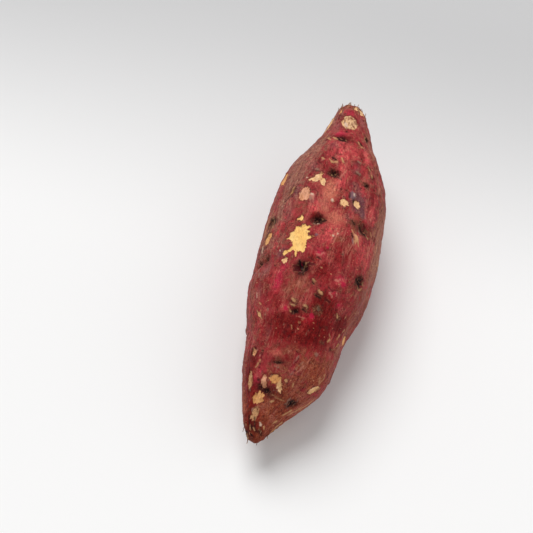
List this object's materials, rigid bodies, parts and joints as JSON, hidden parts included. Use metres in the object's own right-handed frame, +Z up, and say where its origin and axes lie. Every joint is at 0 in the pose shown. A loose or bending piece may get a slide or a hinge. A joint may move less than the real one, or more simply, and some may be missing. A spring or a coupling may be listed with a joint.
{
  "type": "sweet potato",
  "caption": "Whole raw sweet potato storage root, tapered at both ends, lying on its side, with sunken eyes, shallow furrows and a torn stem end.",
  "frame": {"origin": "the middle of the small flat spot that it rests on, under its centre of mass", "axes": "+Y along the root towards the torn stem end, +Z up, +X to the right seen from the root tip"},
  "size_m": [0.0599, 0.1858, 0.0573],
  "materials": {
    "skin": "dry matt red-purple skin with a faint sheen, mottled rose, crimson and brown, with pale scraped patches and dark eyes"
  },
  "bodies": {
    "root": {"sweet_potato": "skin"}
  },
  "joints": []
}
